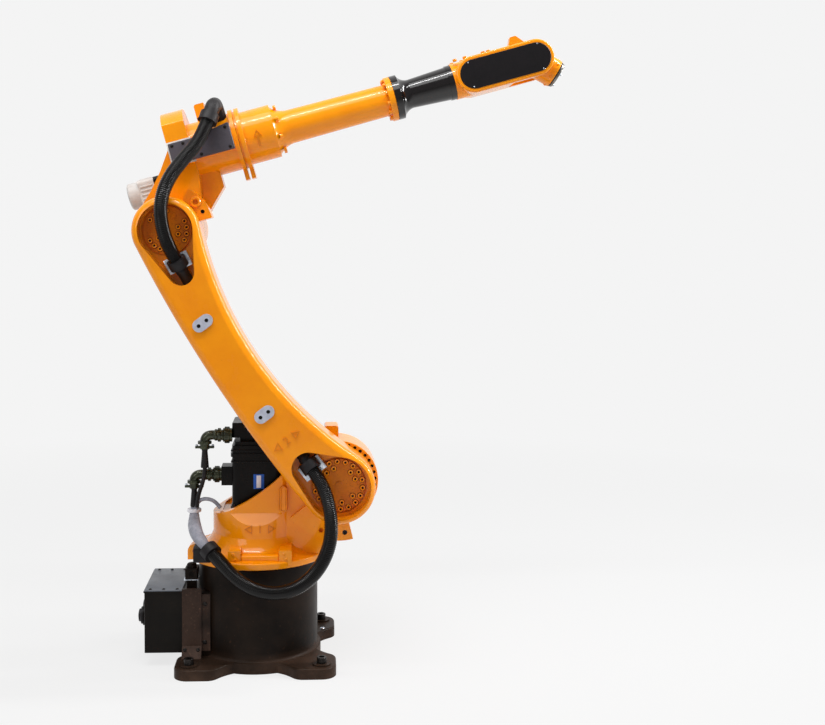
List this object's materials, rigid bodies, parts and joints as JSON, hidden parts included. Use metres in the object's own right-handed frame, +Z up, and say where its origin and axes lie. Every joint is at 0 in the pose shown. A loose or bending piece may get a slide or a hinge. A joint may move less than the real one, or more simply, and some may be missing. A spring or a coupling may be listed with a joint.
{
  "type": "industrial robot arm",
  "caption": "Orange six-axis industrial robot arm on a black base plate, with a side-mounted lower arm, an offset forearm, a slim wrist and two dress hoses.",
  "frame": {"origin": "where the first axis meets the floor, at the middle of the base plate's underside", "axes": "+Z up along the first axis, +X forward over the base toward the wrist, +Y to the motor side"},
  "size_m": [1.0747, 0.4857, 1.5241],
  "materials": {
    "base_casting": "satin black paint",
    "connection_box": "satin black paint",
    "near_bracket": "satin black paint",
    "far_bracket": "satin black paint",
    "turn_stop": "satin black paint",
    "carousel_casting": "gloss orange paint",
    "turn_motor": "satin black paint",
    "sense_connector": "olive plated",
    "power_connector": "olive plated",
    "shoulder_motor": "satin black paint",
    "lower_arm": "gloss orange paint",
    "shoulder_disc": "machined",
    "elbow_disc": "machined",
    "arm_pads": "bare machined",
    "upper_arm": "gloss orange paint",
    "cover_gasket": "matt",
    "side_cover": "satin dark grey",
    "forearm_drum": "gloss orange paint",
    "forearm_tube": "gloss orange paint",
    "wrist_sleeve": "gloss black",
    "wrist_housing": "gloss orange paint",
    "near_wrist_cover": "satin black",
    "far_wrist_cover": "satin black",
    "wrist_head": "gloss orange paint",
    "tool_flange": "machined",
    "elbow_motor": "off-white paint",
    "roll_motor_collar": "satin dark grey",
    "roll_motor": "off-white paint",
    "elbow_stop": "gloss orange paint",
    "shoulder_clamp": "matt black",
    "elbow_clamp": "matt black",
    "shoulder_hose": "corrugated black",
    "elbow_hose": "corrugated black",
    "hose_collar": "matt black",
    "cable_bundle": "grey sleeve",
    "sense_lead": "black sheath",
    "hose_elbow": "matt black",
    "top_clamp": "matt black"
  },
  "bodies": {
    "base": {"base_casting": "base_casting", "connection_box": "connection_box", "near_bracket": "near_bracket", "far_bracket": "far_bracket", "turn_stop": "turn_stop"},
    "carousel": {"carousel_casting": "carousel_casting", "turn_motor": "turn_motor", "sense_connector": "sense_connector", "power_connector": "power_connector", "shoulder_motor": "shoulder_motor", "hose_collar": "hose_collar", "cable_bundle": "cable_bundle", "sense_lead": "sense_lead", "shoulder_hose": "shoulder_hose"},
    "lower_arm": {"lower_arm": "lower_arm", "shoulder_disc": "shoulder_disc", "elbow_disc": "elbow_disc", "arm_pads": "arm_pads", "elbow_stop": "elbow_stop", "shoulder_clamp": "shoulder_clamp", "elbow_clamp": "elbow_clamp", "elbow_hose": "elbow_hose"},
    "upper_arm": {"upper_arm": "upper_arm", "cover_gasket": "cover_gasket", "side_cover": "side_cover", "elbow_motor": "elbow_motor", "roll_motor_collar": "roll_motor_collar", "roll_motor": "roll_motor", "hose_elbow": "hose_elbow", "top_clamp": "top_clamp"},
    "forearm": {"forearm_drum": "forearm_drum", "forearm_tube": "forearm_tube", "wrist_sleeve": "wrist_sleeve", "wrist_housing": "wrist_housing", "near_wrist_cover": "near_wrist_cover", "far_wrist_cover": "far_wrist_cover"},
    "wrist_head": {"wrist_head": "wrist_head"},
    "tool_flange": {"tool_flange": "tool_flange"}
  },
  "joints": [
    {"name": "base_turn", "type": "hinge", "parent": "base", "child": "carousel", "pos_m": [0, 0, 0.25], "axis": [0, 0, 1], "range_deg": [-170, 170]},
    {"name": "shoulder", "type": "hinge", "parent": "carousel", "child": "lower_arm", "pos_m": [0.195, 0, 0.444], "axis": [0, 1, 0], "range_deg": [-35, 130], "deforming": ["shoulder_hose"]},
    {"name": "elbow", "type": "hinge", "parent": "lower_arm", "child": "upper_arm", "pos_m": [-0.20171, 0, 1.03885], "axis": [0, -1, 0], "range_deg": [-70, 120], "deforming": ["elbow_hose"]},
    {"name": "forearm_roll", "type": "hinge", "parent": "upper_arm", "child": "forearm", "pos_m": [-0.24714, 0, 1.20266], "axis": [0.9636, 0, 0.2672], "range_deg": [-180, 180]},
    {"name": "wrist_bend", "type": "hinge", "parent": "forearm", "child": "wrist_head", "pos_m": [0.6712, 0, 1.45734], "axis": [0, 1, 0], "range_deg": [-165.5, 74.5]},
    {"name": "tool_turn", "type": "hinge", "parent": "wrist_head", "child": "tool_flange", "pos_m": [0.73442, 0, 1.42084], "axis": [0.866, 0, -0.5], "range_deg": [-360, 360]}
  ]
}
